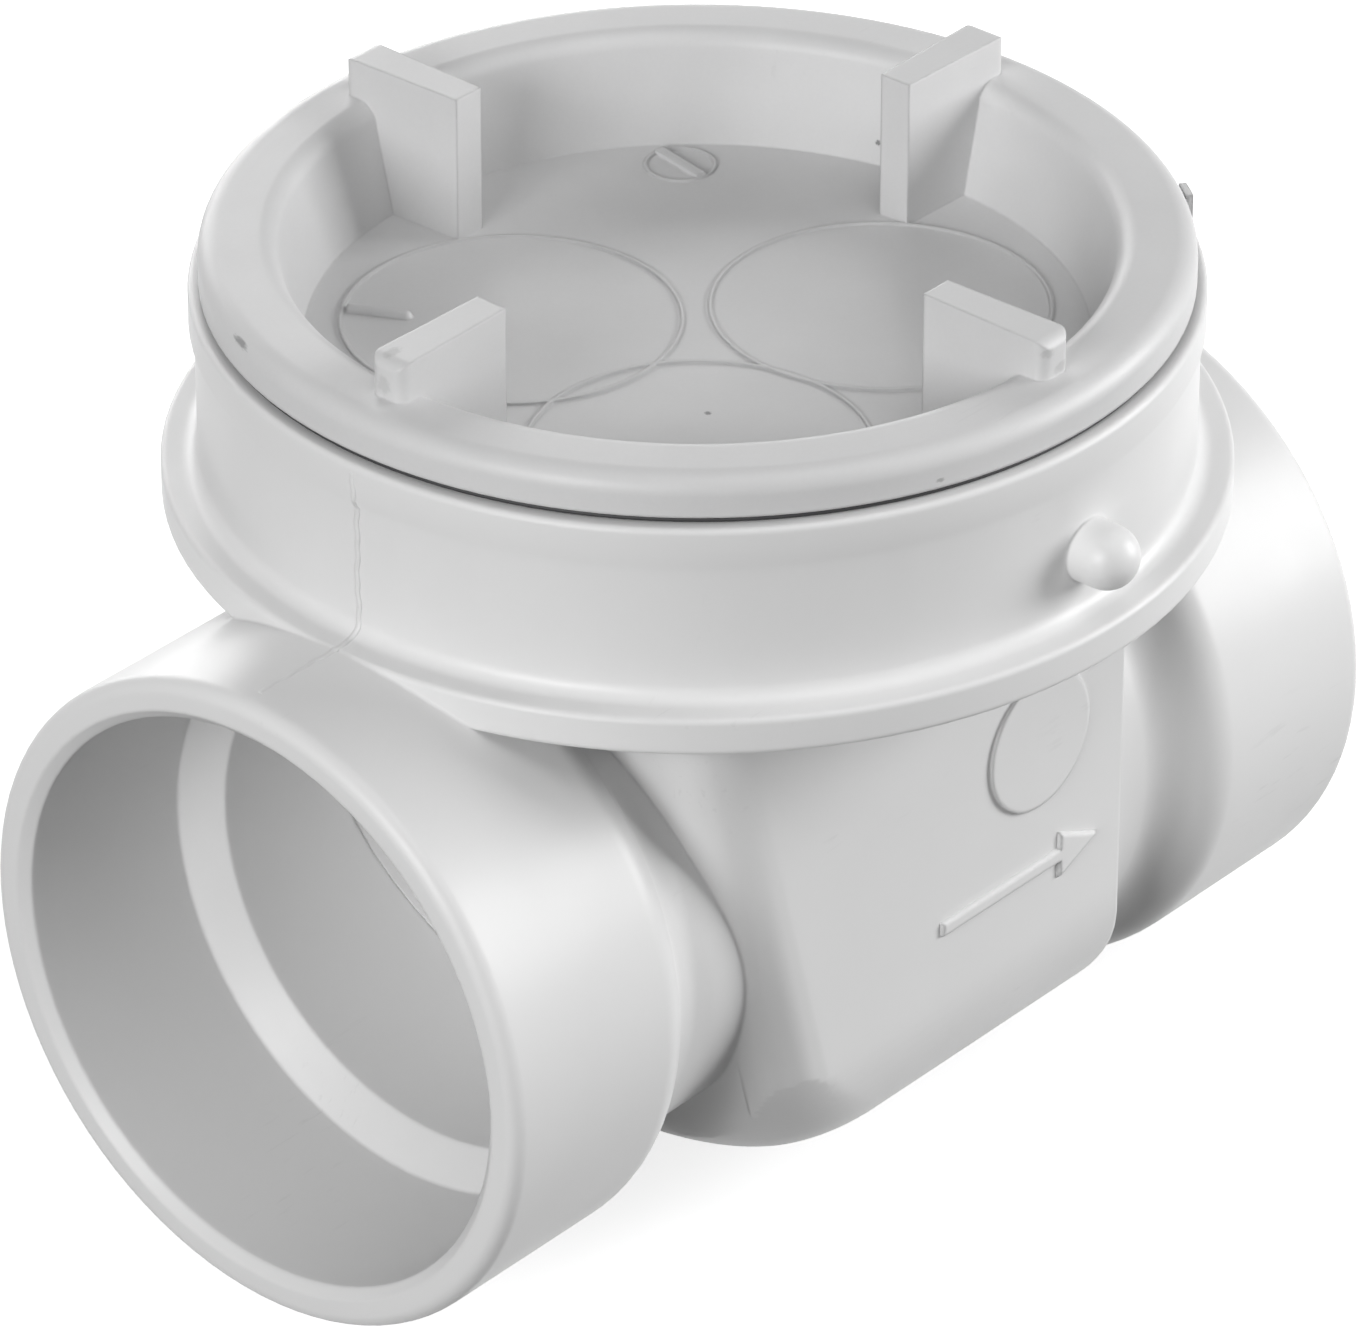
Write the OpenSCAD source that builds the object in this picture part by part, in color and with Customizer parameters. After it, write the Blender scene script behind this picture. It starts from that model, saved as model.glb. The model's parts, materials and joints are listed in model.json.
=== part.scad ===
// Inline backwater valve for a 4 inch drain: a moulded body with two pipe sockets, a screwed access
// cap with grip lugs, and a hinged flapper that falls shut on an inclined seat.
// Frame: origin at the centre of the inlet pipe stop, +X along the flow, +Z up towards the cap.

/* [Pipe sockets] */
// Inside diameter of both pipe sockets
socket_d = 114.6; // [110:0.2:118]
// Depth of both sockets, from the hub's face to the pipe stop
socket_depth = 41; // [36:1:55]
// Wall of both hubs
hub_wall = 8.1; // [6:0.1:10]
// Bore of the waterway
bore_d = 101.6; // [96:0.2:104]
// Length of the tapered pipe stop behind each socket
stop_length = 6.5; // [4:0.5:10]
// Wall of the necks between the hubs and the chamber
neck_wall = 6.7; // [5:0.1:8]
// Radius that rounds the outer edge of each hub's mouth
lip_r = 3; // [1:0.5:5]
// Chamfer that leads the pipe into each socket
lead_in = 2; // [0.5:0.5:3]
// Radius of the cove between each hub and its neck
cove_r = 14; // [8:1:18]

/* [Chamber] */
// Distance between the two pipe stops
lay_length = 168; // [164:1:200]
// Drop of the outlet's axis below the inlet's axis
outlet_drop = 18.5; // [16:0.5:24]
// Wall of the chamber
chamber_wall = 5; // [4:0.5:7]
// Wall behind the seat
seat_wall = 6; // [4:0.5:8]
// Lean of the seat from the vertical, in degrees
seat_tilt = 15; // [10:1:18]
// Distance from the cap's axis upstream to the outside of the seat wall, at the inlet's axis
chamber_up = 56; // [52:1:60]
// Distance from the cap's axis downstream to the chamber's outlet end
chamber_down = 54; // [50:1:60]
// Radius of the chamber's two lower side edges
chamber_edge_r = 39; // [25:1:42]
// Radius of the chamber's edges beside the seat wall
seat_edge_r = 12; // [8:1:18]
// Room between the flapper's rim and the chamber's side walls
flapper_room = 3; // [2:0.5:6]

/* [Collar] */
// Outside diameter of the collar
collar_d = 187.4; // [187:0.2:192]
// Height of the collar above the flange
collar_h = 35.8; // [32:0.2:50]
// Diameter of the flange at the collar's foot
flange_d = 201.4; // [197:0.2:220]
// Thickness of the flange
flange_t = 7.4; // [5:0.1:10]
// Height of the thickened band round the collar's mouth
band_h = 7.2; // [6:0.2:14]
// Thickness that the band adds to the collar's radius
band_t = 1; // [0.8:0.1:1.5]
// Diameter of the round-ended peg on the collar
peg_d = 12.4; // [8:0.2:16]
// Length of the peg, measured from the collar
peg_length = 10.5; // [8.5:0.5:16]

/* [Access cap] */
// Diameter of the cap's plug, over its thread
thread_d = 164; // [160:1:168]
// Diameter of the cap's rim
rim_d = 185.4; // [182:0.2:186]
// Thickness of the cap's rim
rim_t = 8.1; // [6:0.1:10]
// Depth of the dish in the cap, below the rim
dish_depth = 22; // [16:1:28]
// Diameter of the dish at its floor
dish_d = 147; // [138:1:150]
// Thickness of the dish's floor
cap_floor_t = 5; // [3:0.5:8]
// Number of grip lugs
lug_count = 4; // [3:1:6]
// Height of the grip lugs above the rim
lug_h = 8; // [5:0.5:14]
// Thickness of a grip lug at its outer end
lug_t = 8; // [5:0.5:10]
// Distance of the lugs' outer ends from the cap's axis
lug_reach = 85.5; // [82:0.5:87]
// Length of a grip lug, measured from its outer end towards the cap's axis
lug_length = 28.5; // [20:0.5:36]
// Thickness of the cap's O-ring
o_ring_t = 4.4; // [3:0.1:5]

/* [Flapper] */
// How far the flapper reaches past the bore, all round
flapper_lap = 4.2; // [3.8:0.1:6]
// Thickness of the flapper's plate
flapper_t = 4.8; // [3:0.2:6]
// Thickness of the flapper's gasket
gasket_t = 3; // [2:0.2:4]
// Thickness of the plate that clamps the gasket
retainer_t = 2.2; // [1.5:0.1:2.6]
// Thickness of the seat ring, without its lip
seat_t = 3.5; // [3:0.5:5]
// Height of the lip that the gasket closes on
seat_lip_h = 1.5; // [1:0.1:2.5]
// Diameter of the hinge pin
pin_d = 5; // [4:0.5:6]
// Width between the two hinge ears
hinge_w = 40; // [30:1:50]

/* [Hidden] */
$fn = 96;

white = [0.86, 0.86, 0.86];
pale = [0.80, 0.81, 0.82];
rubber = [0.09, 0.09, 0.10];
steel = [0.72, 0.72, 0.73];

// Clearances
thread_gap = 2;      // between the plug and the collar
seal_gap = 0.2;      // round each rubber seal
rim_gap = 1.5;       // between the collar's mouth and the rim
run_gap = 0.05;      // between the pin and a bore
side_gap = 0.5;      // beside the hinge barrel
over = 1;            // how far a cut runs past a face
bite = 1;            // how far a moulded-on form reaches into its wall

// Sockets and necks
socket_r = socket_d / 2;
bore_r = bore_d / 2;
hub_r = socket_r + hub_wall;
neck_r = bore_r + neck_wall;
shoulder_r = 10;     // rounds the inner end of each hub
neck_turn = acos(1 - (hub_r - neck_r) / (shoulder_r + cove_r));  // slope between shoulder and cove
neck_fade = 6;       // length over which a neck's inner end tapers into the chamber
axis_x = lay_length / 2;

// Flange and collar
crown_cover = 0.2;   // flange's top above the inlet hub's crown
flange_top = hub_r + crown_cover;
flange_z = flange_top - flange_t;
flange_r = flange_d / 2;
collar_r = collar_d / 2;
collar_top = flange_top + collar_h;
band_r = collar_r + band_t;
collar_cove = 3;     // cove at the collar's foot
edge_r = 1;          // breaks the sharp edges of the collar and flange

// Cap
thread_r = thread_d / 2;
collar_bore_r = thread_r + thread_gap;
rim_r = rim_d / 2;
rim_z = collar_top + rim_gap;
cap_top = rim_z + rim_t;
rim_edge_r = 4;      // rounds the rim's outer edge
dish_edge_r = 4;     // rounds the dish's mouth
dish_r = dish_d / 2;
dish_draft = 4;      // how much wider the dish is at its mouth
dish_z = cap_top - dish_depth;
plug_z = dish_z - cap_floor_t;
plug_chamfer = 1.5;
lug_top = cap_top + lug_h;
lug_in_t = lug_t * 0.85;
lug_corner_r = 3;    // rounds the top of a lug's outer end
lug_edge_r = 2.5;    // rounds the upright edges of a lug's outer end
mark_h = 0.4;        // height of the witness lines on the dish's floor
mark_w = 0.8;
witness_r = 32;
witness_at = [[-19.5, 29], [29.7, -19.8], [-33, -29]];
stamp_r = 6.7;
stamp_at = [47, 45];
bar_at = [-34, 49];
bar_turn = -63;
bar_length = 12.5;
bar_r = 1.3;
stamp_turn = 79;
stamp_bar_w = 2.2;
stamp_bar_h = 1;

// O-ring and the rebate that holds it
o_ring_r = o_ring_t / 2;
o_ring_mid_r = thread_r + seal_gap + o_ring_r;
o_ring_z = rim_z - seal_gap - o_ring_r;
rebate_r = o_ring_mid_r + o_ring_r + 2 * seal_gap;
rebate_z = o_ring_z - o_ring_r - seal_gap;

// Flapper, measured in the seat's frame: X downstream from the seat wall's inner face, Z up the seat
seat_in_r = bore_r + 0.4;
seat_lip_in_r = seat_in_r + 0.4;
seat_lip_w = 1.8;
flapper_r = bore_r + flapper_lap;
seat_out_r = flapper_r;
lip_x = seat_t + seat_lip_h;
gasket_x = lip_x + seal_gap;
plate_x = gasket_x + gasket_t;
back_x = plate_x + flapper_t;
hub_disc_r = bore_r - 1.8;
retainer_r = bore_r - seal_gap;
pin_r = pin_d / 2;
ear_r = pin_r + 2.5;
pin_x = seat_t + ear_r + over;
pin_z = flapper_r + ear_r + over;
ear_t = 5;
ear_y = hinge_w / 2;
clip_t = 1;
clip_r = pin_r + 2;
clip_y = ear_y + ear_t + seal_gap;
pin_end_y = clip_y + clip_t + 2.5;
pad_y = ear_y + ear_t + 2;
pad_top = pin_z + ear_r + over;
rib_h = 3;
rib_t = 3;
rib_r = flapper_r - 10;
screw_r = 1.9;
screw_head_r = 4;
screw_head_h = 2;
screw_length = 6;
screw_pcd = 60;
screw_count = 4;
hole_gap = 0.2;

// Chamber, from what it has to hold
chamber_in_y = flapper_r + flapper_room;
chamber_y = chamber_in_y + chamber_wall;
floor_step = 4;      // chamber's floor above the outlet's invert
floor_z = floor_step - outlet_drop - bore_r;
bottom_z = floor_z - chamber_wall;
wall_x = axis_x - chamber_up;
end_x = axis_x + chamber_down;
seat_x = wall_x + seat_wall / cos(seat_tilt);
seat_clear = 0.3;    // between the seat ring and the roundings beside it
// Rounds the seat wall into the floor, as far as the seat ring leaves room
seat_foot_in_r = -(seat_out_r * cos(seat_tilt) + seat_clear + floor_z) / (1 - sin(seat_tilt));
round_less = 1.2 * chamber_wall;  // how much tighter a rounding is inside the chamber than outside
seat_foot_r = seat_foot_in_r + round_less;
// Turn and radius of each rounding of the two corners under the seat wall
corner_rounds = [[22.5, 50], [45, 57], [67.5, 53]];
corner_clear = 0.6;  // keeps that rounding off the edges above it
end_foot_r = 6;      // rounds the outlet end into the chamber's bottom
end_foot_in_r = 3;
end_edge_r = 5;      // rounds the upright edges of the outlet end
far = 3 * lay_length;

// Marks on the body
pad_mark_r = 14.5;
pad_mark_at = [25.5, 12.8];
pad_mark_h = 0.8;
peg_z = flange_top + 12.5;
tab_turn = -36;      // bearing of the tab on the collar's mouth
tab_w = 5;
tab_rise = 6;        // height of the tab above the collar's mouth
tab_gap = 0.6;       // between the tab and the rim

// Points of an arc about c, from angle a0 to a1, in n steps
function arc(c, r, a0, a1, n = 10) =
    [for (i = [0:n]) c + r * [cos(a0 + (a1 - a0) * i / n), sin(a0 + (a1 - a0) * i / n)]];

// Turns a shape made along +Z so that it lies along +X
module along_x() { rotate([0, 90, 0]) children(); }

// Places a shape made in the seat's frame
module on_seat() { translate([seat_x, 0, 0]) rotate([0, -seat_tilt, 0]) children(); }

// Places a shape on the cap's axis
module on_axis() { translate([axis_x, 0, 0]) children(); }

// Hub and neck as one turned form, its mouth at z = 0 and its neck's end at z = neck_end
module hub_and_neck(neck_end) {
    cove_z = socket_depth + (shoulder_r + cove_r) * sin(neck_turn);
    rotate_extrude() polygon(concat(
        [[0, 0]],
        arc([hub_r - lip_r, lip_r], lip_r, -90, 0),
        arc([hub_r - shoulder_r, socket_depth], shoulder_r, 0, neck_turn),
        arc([neck_r + cove_r, cove_z], cove_r, 180 + neck_turn, 180),
        [[neck_r, neck_end], [neck_r - neck_fade, neck_end + neck_fade], [0, neck_end + neck_fade]]));
}

// What a hub's socket, pipe stop and bore take away, its mouth at z = 0
module waterway(bore_end) {
    translate([0, 0, -over]) cylinder(r = socket_r, h = socket_depth + over);
    translate([0, 0, -over])
        cylinder(r1 = socket_r + lead_in + over, r2 = socket_r, h = lead_in + over);
    translate([0, 0, socket_depth]) cylinder(r1 = socket_r, r2 = bore_r, h = stop_length);
    translate([0, 0, socket_depth]) cylinder(r = bore_r, h = bore_end - socket_depth);
}

// U-shaped section across the flow, from the chamber's bottom up to top
module across_flow(half_w, low, edge_r, top) {
    rotate([90, 0, 90]) linear_extrude(far) polygon(concat(
        arc([-half_w + edge_r, low + edge_r], edge_r, 180, 270, 24),
        arc([half_w - edge_r, low + edge_r], edge_r, 270, 360, 24),
        [[half_w, top], [-half_w, top]]));
}

// Outline along the flow: leaning wall, rounded feet and an upright outlet end
module along_flow(face_x, lean, low, end, top, foot_r, end_r) {
    foot_z = low + foot_r;
    foot_x = face_x + (foot_r - foot_z * sin(lean)) / cos(lean);
    translate([0, far / 2, 0]) rotate([90, 0, 0]) linear_extrude(far) polygon(concat(
        [[face_x - top * tan(lean), top]],
        arc([foot_x, foot_z], foot_r, 180 + lean, 270, 40),
        arc([end - end_r, low + end_r], end_r, 270, 360),
        [[end, top]]));
}

// The same outline turned both ways: bowls the two corners between the seat wall and the sides
module across_corners(face_x, half_w, edge_r, low, top, less) {
    intersection_for(c = corner_rounds) intersection_for(side = [-1, 1]) {
        face = (face_x + edge_r) * cos(c[0]) - (half_w - edge_r) * sin(c[0]) - edge_r - corner_clear;
        rotate([0, 0, side * c[0]])
            along_flow(face, atan(tan(seat_tilt) * cos(c[0])), low, far, top, c[1] - less, over);
    }
}

// Plan of the chamber seen down the seat, with rounded edges beside the seat wall
module down_seat(face, half_w, edge_r) {
    on_seat() translate([0, 0, -far / 2]) linear_extrude(far) polygon(concat(
        arc([face + edge_r, -half_w + edge_r], edge_r, 270, 180, 20),
        arc([face + edge_r, half_w - edge_r], edge_r, 180, 90, 20),
        [[far, half_w], [far, -half_w]]));
}

// Plan of the chamber's outlet end, with its small upright edge radius
module down_end(end, half_w, edge_r) {
    translate([0, 0, -far / 2]) linear_extrude(far) polygon(concat(
        [[-far, -half_w]],
        arc([end - edge_r, -half_w + edge_r], edge_r, 270, 360, 6),
        arc([end - edge_r, half_w - edge_r], edge_r, 0, 90, 6),
        [[-far, half_w]]));
}

module chamber_outside() {
    top = flange_z + bite;
    intersection() {
        across_flow(chamber_y, bottom_z, chamber_edge_r, top + over);
        along_flow(wall_x, seat_tilt, bottom_z, end_x + over, top, seat_foot_r, end_foot_r);
        across_corners(wall_x, chamber_y, seat_edge_r, bottom_z, top, 0);
        down_seat(-seat_wall, chamber_y, seat_edge_r);
        down_end(end_x, chamber_y + over, end_edge_r + over);
    }
}

module chamber_inside() {
    top = flange_top + bite;
    edge_r = flapper_room - seat_clear;
    intersection() {
        across_flow(chamber_in_y, floor_z, chamber_edge_r - chamber_wall, top + over);
        along_flow(seat_x, seat_tilt, floor_z, end_x - chamber_wall, top, seat_foot_in_r, end_foot_in_r);
        across_corners(seat_x, chamber_in_y, edge_r, floor_z, top, round_less);
        down_seat(0, chamber_in_y, edge_r);
    }
}

// Flange and collar, turned about the cap's axis
module collar_outside() {
    band_z = collar_top - band_h;
    rotate_extrude() polygon(concat(
        [[0, flange_z]],
        arc([flange_r - edge_r, flange_z + edge_r], edge_r, -90, 0, 5),
        arc([flange_r - edge_r, flange_top - edge_r], edge_r, 0, 90, 5),
        arc([collar_r + collar_cove, flange_top + collar_cove], collar_cove, 270, 180, 8),
        [[collar_r, band_z - 2 * band_t], [band_r, band_z]],
        arc([band_r - edge_r, collar_top - edge_r], edge_r, 0, 90, 5),
        [[0, collar_top]]));
}

// Bore of the collar and the rebate at its mouth
module collar_inside() {
    translate([0, 0, flange_top]) cylinder(r = collar_bore_r, h = collar_top - flange_top + over);
    translate([0, 0, rebate_z]) cylinder(r = rebate_r, h = collar_top - rebate_z + over);
}

// Round-ended peg on the collar's side
module peg() {
    peg_r = peg_d / 2;
    translate([0, -collar_r, peg_z]) rotate([90, 0, 0]) rotate_extrude() polygon(concat(
        [[0, -2 * bite], [peg_r, -2 * bite]],
        arc([0, peg_length - peg_r], peg_r, 0, 90, 12)));
}

// Small upright tab that stands on the collar's mouth, just outside the cap's rim
module tab() {
    intersection() {
        rotate_extrude() polygon([
            [rim_r + tab_gap, collar_top - band_h], [band_r, collar_top - band_h],
            [band_r, collar_top + tab_rise], [rim_r + tab_gap, collar_top + tab_rise]]);
        rotate([0, 0, tab_turn]) translate([0, -tab_w / 2, 0]) cube([flange_r, tab_w, lug_top]);
    }
}

module valve_body() {
    outlet_reach = socket_depth + lay_length - end_x + chamber_wall + end_foot_in_r + bite;
    color(white) difference() {
        union() {
            translate([-socket_depth, 0, 0]) along_x()
                hub_and_neck(socket_depth + seat_x + neck_r * tan(seat_tilt));
            translate([lay_length + socket_depth, 0, -outlet_drop]) mirror([1, 0, 0]) along_x()
                hub_and_neck(outlet_reach);
            chamber_outside();
            on_axis() {
                collar_outside();
                peg();
                tab();
                translate([pad_mark_at[0], bite - chamber_y, pad_mark_at[1]])
                    rotate([90, 0, 0]) cylinder(r = pad_mark_r, h = pad_mark_h + bite);
            }
        }
        translate([-socket_depth, 0, 0]) along_x() waterway(socket_depth + axis_x);
        translate([lay_length + socket_depth, 0, -outlet_drop]) mirror([1, 0, 0]) along_x()
            waterway(outlet_reach);
        chamber_inside();
        on_axis() collar_inside();
    }
}

// Turned form of the cap: plug, dish and rim
module cap_turned() {
    mouth_r = dish_r + dish_draft;
    rotate_extrude() polygon(concat(
        [[0, plug_z], [thread_r - plug_chamfer, plug_z], [thread_r, plug_z + plug_chamfer],
            [thread_r, rim_z], [rim_r, rim_z]],
        arc([rim_r - rim_edge_r, cap_top - rim_edge_r], rim_edge_r, 0, 90),
        arc([mouth_r + dish_edge_r, cap_top - dish_edge_r], dish_edge_r, 90, 180, 8),
        [[dish_r, dish_z], [0, dish_z]]));
}

// One grip lug: an upright plate that stands on the rim, the dish's wall and its floor
module grip_lug() {
    in_r = lug_reach - lug_length;
    end = lug_reach + seal_gap;
    corner = [lug_reach - lug_edge_r, lug_t / 2 - lug_edge_r];
    intersection() {
        translate([0, lug_t, 0]) rotate([90, 0, 0]) linear_extrude(2 * lug_t) polygon(concat(
            [[in_r, dish_z - bite], [thread_r - bite, dish_z - bite],
                [thread_r - bite, cap_top - bite], [end, cap_top - bite]],
            arc([end - lug_corner_r, lug_top - lug_corner_r], lug_corner_r, 0, 90, 6),
            [[in_r, lug_top]]));
        linear_extrude(lug_top + over) polygon(concat(
            [[in_r - over, -lug_in_t / 2]],
            arc([corner[0], -corner[1]], lug_edge_r, 270, 360, 6),
            arc(corner, lug_edge_r, 0, 90, 6),
            [[in_r - over, lug_in_t / 2]]));
    }
}

// Raised ring of a witness line, centred on p
module ring_line(p, r) {
    translate([p[0], p[1], dish_z - bite]) difference() {
        cylinder(r = r + mark_w / 2, h = bite + mark_h);
        translate([0, 0, -over]) cylinder(r = r - mark_w / 2, h = bite + mark_h + 2 * over);
    }
}

// Round mark with a bar across it
module stamp() {
    ring_line(stamp_at, stamp_r);
    translate([stamp_at[0], stamp_at[1], dish_z - bite]) rotate([0, 0, stamp_turn])
        translate([-stamp_r, -stamp_bar_w / 2, 0]) cube([2 * stamp_r, stamp_bar_w, bite + stamp_bar_h]);
}

// Round-ended rod, half sunk in the dish's floor
module bar() {
    translate([bar_at[0], bar_at[1], dish_z]) rotate([0, 90, bar_turn]) translate([0, 0, -bar_length / 2])
        rotate_extrude() polygon(concat(
            [[0, 0], [bar_r, 0]],
            arc([0, bar_length - bar_r], bar_r, 0, 90)));
}

module access_cap() {
    color(white) on_axis() {
        cap_turned();
        for (i = [0:lug_count - 1]) rotate([0, 0, 360 * i / lug_count]) grip_lug();
        intersection() {
            for (p = witness_at) ring_line(p, witness_r);
            cylinder(r = dish_r + over, h = cap_top);
        }
        stamp();
        bar();
    }
}

module cap_o_ring() {
    color(rubber) on_axis() translate([0, 0, o_ring_z])
        rotate_extrude() translate([o_ring_mid_r, 0]) circle(r = o_ring_r, $fn = 32);
}

// Turned ring in the seat's frame, from x0 to x1 downstream
module seat_turned(r_in, r_out, x0, x1) {
    translate([x0, 0, 0]) along_x() difference() {
        cylinder(r = r_out, h = x1 - x0);
        translate([0, 0, -over]) cylinder(r = r_in, h = x1 - x0 + 2 * over);
    }
}

// Cylinder along Y on the hinge's axis, centred on the seat
module on_hinge(r, half_length) {
    translate([pin_x, half_length, pin_z]) rotate([90, 0, 0]) cylinder(r = r, h = 2 * half_length);
}

module hinge_ear(side) {
    low = side > 0 ? ear_y : -ear_y - ear_t;
    translate([0, low, pin_z - ear_r]) cube([pin_x, ear_t, 2 * ear_r]);
    translate([pin_x, low + ear_t, pin_z]) rotate([90, 0, 0]) cylinder(r = ear_r, h = ear_t);
}

module seat_ring() {
    lip_out_r = seat_lip_in_r + seat_lip_w;
    color(pale) on_seat() difference() {
        union() {
            along_x() cylinder(r = seat_out_r, h = seat_t);
            along_x() cylinder(r = lip_out_r, h = lip_x);
            translate([0, -pad_y, seat_in_r * 0.8]) cube([seat_t, 2 * pad_y, pad_top - seat_in_r * 0.8]);
            hinge_ear(1);
            hinge_ear(-1);
        }
        translate([-over, 0, 0]) along_x() cylinder(r = seat_in_r, h = seat_t + over);
        translate([seat_t - over, 0, 0]) along_x() cylinder(r = seat_lip_in_r, h = seat_lip_h + 2 * over);
        on_hinge(pin_r + run_gap, far / 2);
    }
}

module hinge_pin() {
    color(steel) on_seat() on_hinge(pin_r, pin_end_y);
}

module pin_clips() {
    color(steel) on_seat() for (y = [-clip_y - clip_t, clip_y]) translate([pin_x, y + clip_t, pin_z])
        rotate([90, 0, 0]) difference() {
            cylinder(r = clip_r, h = clip_t);
            translate([0, 0, -over]) cylinder(r = pin_r + run_gap, h = clip_t + 2 * over);
        }
}

// Places of the retainer's screws, in the seat's frame
module at_screws() {
    for (i = [0:screw_count - 1]) rotate([360 * (i + 0.5) / screw_count, 0, 0])
        translate([0, 0, screw_pcd / 2]) children();
}

module flapper() {
    barrel_y = ear_y - side_gap;
    web_y = barrel_y - 2;
    color(pale) on_seat() difference() {
        union() {
            along_x() rotate_extrude() polygon([
                [0, gasket_x], [hub_disc_r, gasket_x], [hub_disc_r, plate_x], [flapper_r, plate_x],
                [flapper_r, back_x - edge_r], [flapper_r - edge_r, back_x], [0, back_x]]);
            seat_turned(rib_r - rib_t, rib_r, back_x - bite, back_x + rib_h);
            for (a = [45, 135]) rotate([a, 0, 0])
                translate([back_x - bite, -rib_t / 2, bite - rib_r])
                    cube([bite + rib_h, rib_t, 2 * (rib_r - bite)]);
            on_hinge(ear_r, barrel_y);
            translate([plate_x, -web_y, rib_r]) cube([flapper_t, 2 * web_y, pin_z - rib_r]);
        }
        on_hinge(pin_r + run_gap, far / 2);
        at_screws() translate([gasket_x - over, 0, 0]) along_x()
            cylinder(r = screw_r + hole_gap, h = screw_length + 2 * over);
    }
}

module flapper_gasket() {
    color(rubber) on_seat() seat_turned(hub_disc_r + seal_gap, flapper_r - seal_gap, gasket_x, plate_x);
}

module gasket_retainer() {
    color(pale) on_seat() difference() {
        translate([gasket_x - retainer_t, 0, 0]) along_x() cylinder(r = retainer_r, h = retainer_t);
        at_screws() translate([gasket_x - retainer_t - over, 0, 0]) along_x()
            cylinder(r = screw_r + hole_gap, h = retainer_t + 2 * over);
    }
}

module retainer_screws() {
    head_x = gasket_x - retainer_t;
    color(steel) on_seat() at_screws() translate([head_x, 0, 0]) along_x() rotate_extrude() polygon([
        [0, -screw_head_h], [screw_head_r - edge_r, -screw_head_h], [screw_head_r, edge_r - screw_head_h],
        [screw_head_r, 0], [screw_r, 0],
        [screw_r, retainer_t + screw_length], [0, retainer_t + screw_length]]);
}

valve_body();
access_cap();
cap_o_ring();
seat_ring();
hinge_pin();
pin_clips();
flapper();
flapper_gasket();
gasket_retainer();
retainer_screws();
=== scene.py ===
"""Looks of the backwater valve: satin white PVC body and cap, black rubber seals, stainless fixings.

Every length is in metres, in the part's own frame: +X along the flow, +Z up to the access cap.
"""

import json
import math

import bmesh
import bpy
import numpy as np
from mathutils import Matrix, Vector


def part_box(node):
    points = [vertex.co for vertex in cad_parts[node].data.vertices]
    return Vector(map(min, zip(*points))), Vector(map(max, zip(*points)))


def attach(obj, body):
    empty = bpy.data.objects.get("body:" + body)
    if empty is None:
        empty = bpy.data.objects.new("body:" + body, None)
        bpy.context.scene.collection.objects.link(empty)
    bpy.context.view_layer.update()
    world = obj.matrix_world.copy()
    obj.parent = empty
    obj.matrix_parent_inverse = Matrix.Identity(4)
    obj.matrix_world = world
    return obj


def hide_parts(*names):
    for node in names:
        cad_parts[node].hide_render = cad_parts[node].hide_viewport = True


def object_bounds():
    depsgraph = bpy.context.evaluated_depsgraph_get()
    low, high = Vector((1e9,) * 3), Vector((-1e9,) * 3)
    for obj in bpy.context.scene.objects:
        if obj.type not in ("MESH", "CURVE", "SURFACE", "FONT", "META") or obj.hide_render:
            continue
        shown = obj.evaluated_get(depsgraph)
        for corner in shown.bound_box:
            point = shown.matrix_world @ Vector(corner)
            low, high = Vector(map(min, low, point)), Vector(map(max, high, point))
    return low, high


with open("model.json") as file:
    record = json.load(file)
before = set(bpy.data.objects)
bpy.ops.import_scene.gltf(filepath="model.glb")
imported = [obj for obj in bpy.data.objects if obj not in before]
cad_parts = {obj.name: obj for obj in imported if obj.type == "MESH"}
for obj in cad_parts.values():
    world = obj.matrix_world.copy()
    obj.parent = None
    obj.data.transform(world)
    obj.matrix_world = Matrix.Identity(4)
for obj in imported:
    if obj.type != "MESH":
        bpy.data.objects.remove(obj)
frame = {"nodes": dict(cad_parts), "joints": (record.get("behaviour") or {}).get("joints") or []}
cad_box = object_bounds()

MM = 0.001

# Sizes that the new pieces share with the solids
joints = {joint["name"]: joint for joint in frame["joints"]}
CAP_AXIS_X = joints["cap_turn"]["pos_m"][0]
CAP_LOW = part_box("access_cap")[0]
BODY_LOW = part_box("valve_body")[0]
PLUG_R = 82 * MM
COLLAR_BORE_R = 84 * MM
COLLAR_R = 93.7 * MM
BAND_R = 94.7 * MM
BAND_H = 7.2 * MM
FLANGE_R = 100.7 * MM
COLLAR_TOP = 101.4 * MM
FLANGE_TOP = 65.6 * MM
HUB_R = 65.4 * MM
CHAMBER_Y = 63 * MM
COLLAR_COVE = 3 * MM
THREAD_PITCH = 5 * MM
SEAT_X = 34.21 * MM
SEAT_TILT = math.radians(15)
SCREW_FACE_X = 3 * MM
SCREW_REACH = 30 * MM
SCREW_COUNT = 4
SCREW_HEAD_R = 4 * MM
SCREW_HEAD_H = 2 * MM
SCREW_R = 1.9 * MM
SCREW_LENGTH = 8.2 * MM
SEAL_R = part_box("cap_o_ring")[1].y
RIM_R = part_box("access_cap")[1].y

# Rounded corners of the chamber under the seat wall. Five upright outlines shape each in the solid:
# their bearings from the seat wall round to the side, foot radii and set-backs, the last two in mm
SEAT_WALL_X = 28 * MM
SEAT_EDGE_R = 12 * MM
CHAMBER_LOW = -70.3 * MM
CORNER_BEARINGS = (0, 22.5, 45, 67.5, 90)
CORNER_FOOT_R = (22, 50, 57, 53, 39)
CORNER_CLEAR = (0, 0.6, 0.6, 0.6, 0)

# Edges by a corner are halved this many times at most, down to this length
CORNER_ROUNDS = 7
CORNER_SPLIT = 2.5 * MM

# A point counts as on the chamber's outside from just under the smooth wrap to this far above it,
# and as by a corner if it is upstream of, beside and below these places
CORNER_UNDER = 0.03 * MM
CORNER_PROUD = 1.6 * MM
CORNER_ENDS = np.array([110, -4, -8]) * MM

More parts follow.
